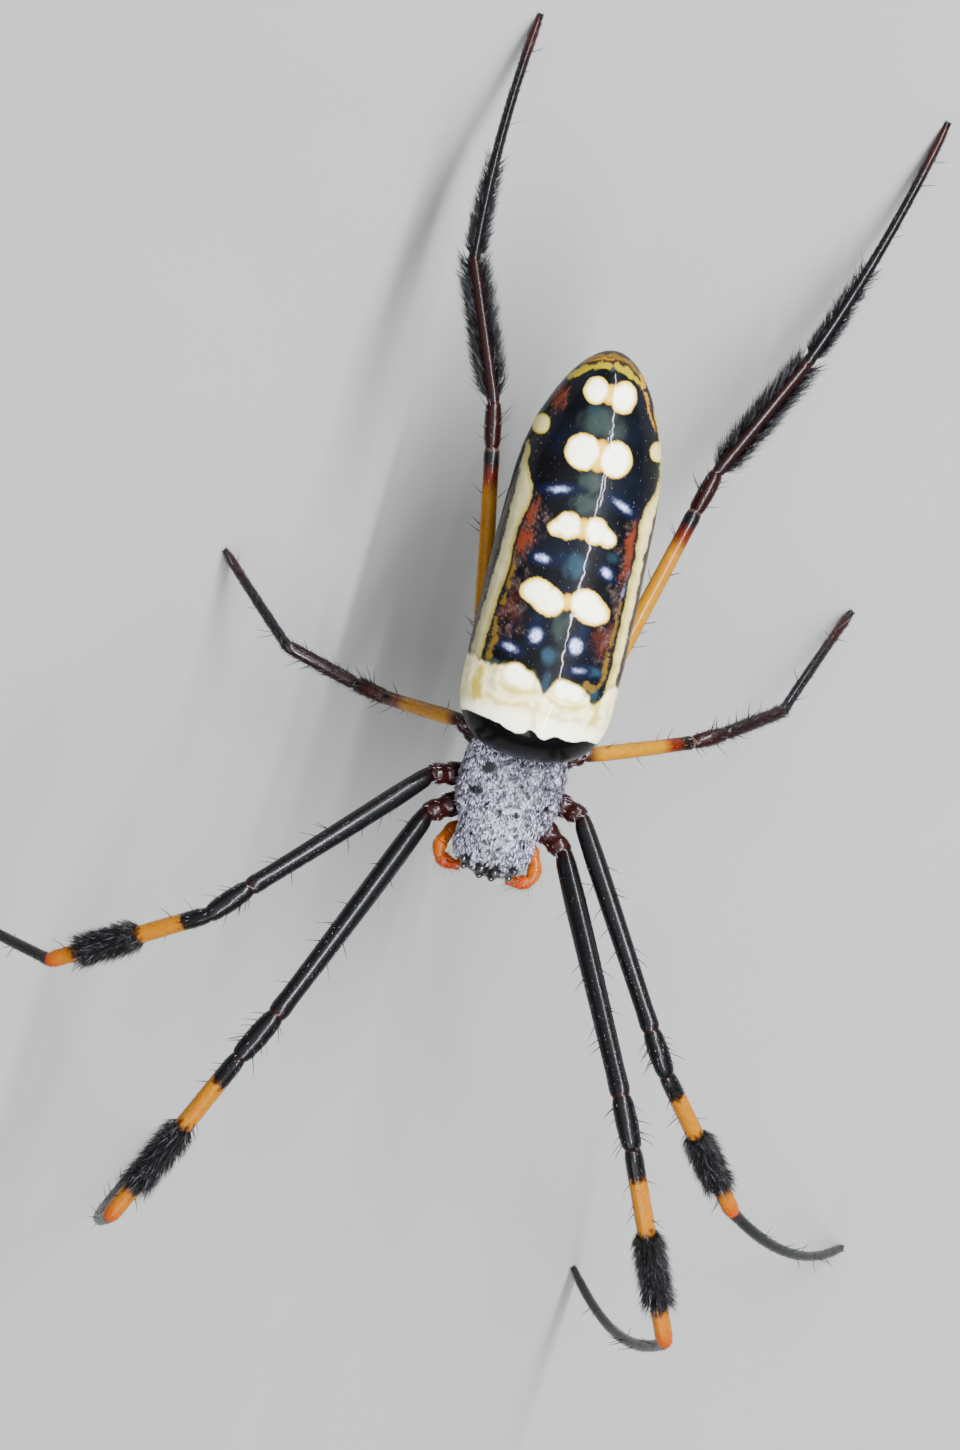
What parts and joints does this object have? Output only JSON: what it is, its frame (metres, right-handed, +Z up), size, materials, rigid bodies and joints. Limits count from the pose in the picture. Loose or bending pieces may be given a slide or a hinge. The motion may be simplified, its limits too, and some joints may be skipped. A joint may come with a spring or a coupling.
{
  "type": "golden silk orb weaver",
  "caption": "Life-size female golden silk orb weaver standing still, with a long banded abdomen and brushes of hair on its legs.",
  "frame": {"origin": "on the floor, under the middle of the whole figure", "axes": "+Y from the head to the spinnerets, +X to the spider's left, +Z up"},
  "size_m": [0.0492, 0.0615, 0.0191],
  "materials": {
    "abdomen_skin": "smooth, slightly glossy skin with cream spots and bands",
    "silver_hair": "short flat silvery hair over black shell",
    "black_shell": "glossy black shell with fine pale hairs",
    "red_shell": "glossy dark red-brown shell",
    "yellow_shell": "satin yellow-orange shell, darker at its end",
    "banded_shell": "satin shell banded black and orange",
    "palp_shell": "satin orange shell",
    "brown_skin": "matte brown skin",
    "brush_hair": "long straight black hair",
    "eye": "polished black"
  },
  "bodies": {
    "root": {"abdomen": "abdomen_skin", "carapace": "silver_hair", "sternum": "black_shell", "pedicel": "red_shell", "spinnerets": "brown_skin", "chelicera_left": "black_shell", "fang_left": "red_shell", "palp_left": "palp_shell", "eye_front_median_left": "eye", "eye_rear_median_left": "eye", "eye_front_lateral_left": "eye", "eye_rear_lateral_left": "eye", "leg_left_1_coxa": "red_shell", "leg_left_1_femur": "black_shell", "leg_left_1_patella": "black_shell", "leg_left_1_tibia": "banded_shell", "leg_left_1_foot": "black_shell", "leg_left_2_coxa": "red_shell", "leg_left_2_femur": "black_shell", "leg_left_2_patella": "black_shell", "leg_left_2_tibia": "banded_shell", "leg_left_2_foot": "black_shell", "leg_left_3_coxa": "red_shell", "leg_left_3_femur": "yellow_shell", "leg_left_3_patella": "red_shell", "leg_left_3_tibia": "red_shell", "leg_left_3_foot": "black_shell", "leg_left_4_coxa": "red_shell", "leg_left_4_femur": "yellow_shell", "leg_left_4_patella": "red_shell", "leg_left_4_tibia": "red_shell", "leg_left_4_foot": "black_shell", "chelicera_right": "black_shell", "fang_right": "red_shell", "palp_right": "palp_shell", "eye_front_median_right": "eye", "eye_rear_median_right": "eye", "eye_front_lateral_right": "eye", "eye_rear_lateral_right": "eye", "leg_right_1_coxa": "red_shell", "leg_right_1_femur": "black_shell", "leg_right_1_patella": "black_shell", "leg_right_1_tibia": "banded_shell", "leg_right_1_foot": "black_shell", "leg_right_2_coxa": "red_shell", "leg_right_2_femur": "black_shell", "leg_right_2_patella": "black_shell", "leg_right_2_tibia": "banded_shell", "leg_right_2_foot": "black_shell", "leg_right_3_coxa": "red_shell", "leg_right_3_femur": "yellow_shell", "leg_right_3_patella": "red_shell", "leg_right_3_tibia": "red_shell", "leg_right_3_foot": "black_shell", "leg_right_4_coxa": "red_shell", "leg_right_4_femur": "yellow_shell", "leg_right_4_patella": "red_shell", "leg_right_4_tibia": "red_shell", "leg_right_4_foot": "black_shell"}
  },
  "joints": []
}
